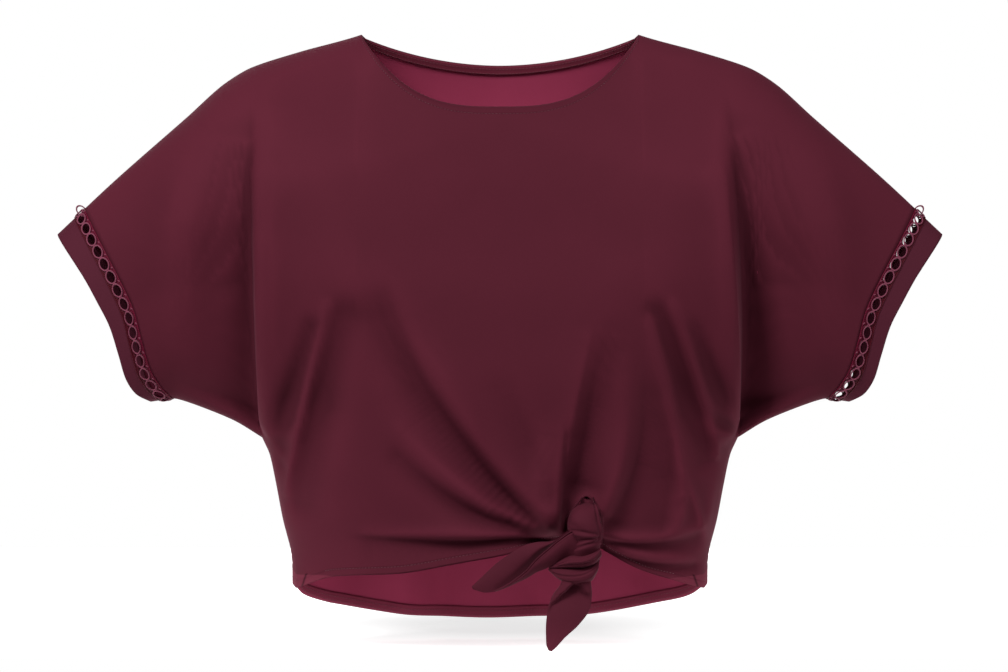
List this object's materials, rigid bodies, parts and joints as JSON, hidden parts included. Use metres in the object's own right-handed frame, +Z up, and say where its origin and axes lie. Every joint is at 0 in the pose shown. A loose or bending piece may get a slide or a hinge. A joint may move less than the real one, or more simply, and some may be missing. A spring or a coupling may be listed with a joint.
{
  "type": "cropped blouse",
  "caption": "Cropped blouse with a wide round neck, short cut-on sleeves, ring trim above turned cuffs and a front hem knotted off centre over a longer back.",
  "frame": {"origin": "midway between the two points where the shoulder seams meet the neckline, at their height: where the wearer's shoulders hold the blouse", "axes": "+X towards the viewer's right, which is the wearer's left; -Y the front; +Z up; worn pose, hollow, with no wearer"},
  "size_m": [0.7254, 0.2157, 0.4968],
  "materials": {
    "crepe": "soft matte crepe",
    "facing": "matte crepe, folded and stitched",
    "ring_cord": "matte corded rings"
  },
  "bodies": {
    "root": {"front": "crepe", "back": "crepe", "back_neck_facing": "facing", "left_trim_front": "ring_cord", "left_trim_back": "ring_cord", "right_trim_front": "ring_cord", "right_trim_back": "ring_cord", "left_cuff": "crepe", "right_cuff": "crepe", "knot_loop": "crepe", "knot_upper_wrap": "crepe", "knot_lower_wrap": "crepe", "left_tie_end": "crepe", "lower_tie_end": "crepe"}
  },
  "joints": []
}
